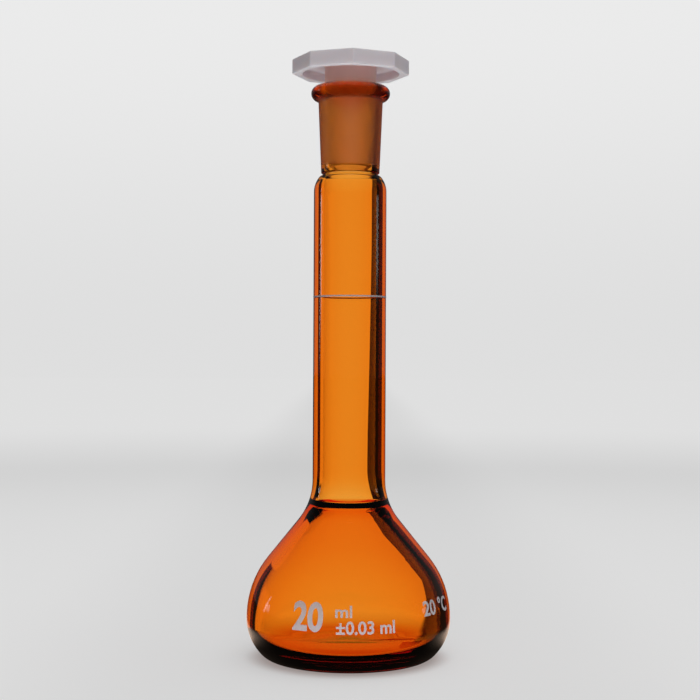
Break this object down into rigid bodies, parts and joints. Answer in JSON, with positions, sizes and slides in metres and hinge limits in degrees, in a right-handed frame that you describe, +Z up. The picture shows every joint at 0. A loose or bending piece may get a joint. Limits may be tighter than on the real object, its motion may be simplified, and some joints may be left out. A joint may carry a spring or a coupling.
{
  "type": "volumetric flask",
  "caption": "Amber glass volumetric flask with a low wide bulb, a slim neck with an enamel ring mark, and a tapered ground socket closed by an octagonal plastic stopper.",
  "frame": {"origin": "on the table, at the middle of the base", "axes": "+Z up along the axis of the flask, from the base to the stopper"},
  "size_m": [0.0392, 0.0392, 0.1152],
  "materials": {
    "amber_glass": "clear polished amber, ground and matt inside the socket",
    "white_enamel": "fired white enamel",
    "natural_polyethylene": "satin, milky translucent"
  },
  "bodies": {
    "flask": {"flask_body": "amber_glass", "ring_mark": "white_enamel"},
    "stopper": {"stopper": "natural_polyethylene"}
  },
  "joints": [
    {"name": "stopper_lift", "type": "slide", "parent": "flask", "child": "stopper", "axis": [0, 0, 1], "range_m": [0, 0.03]}
  ]
}
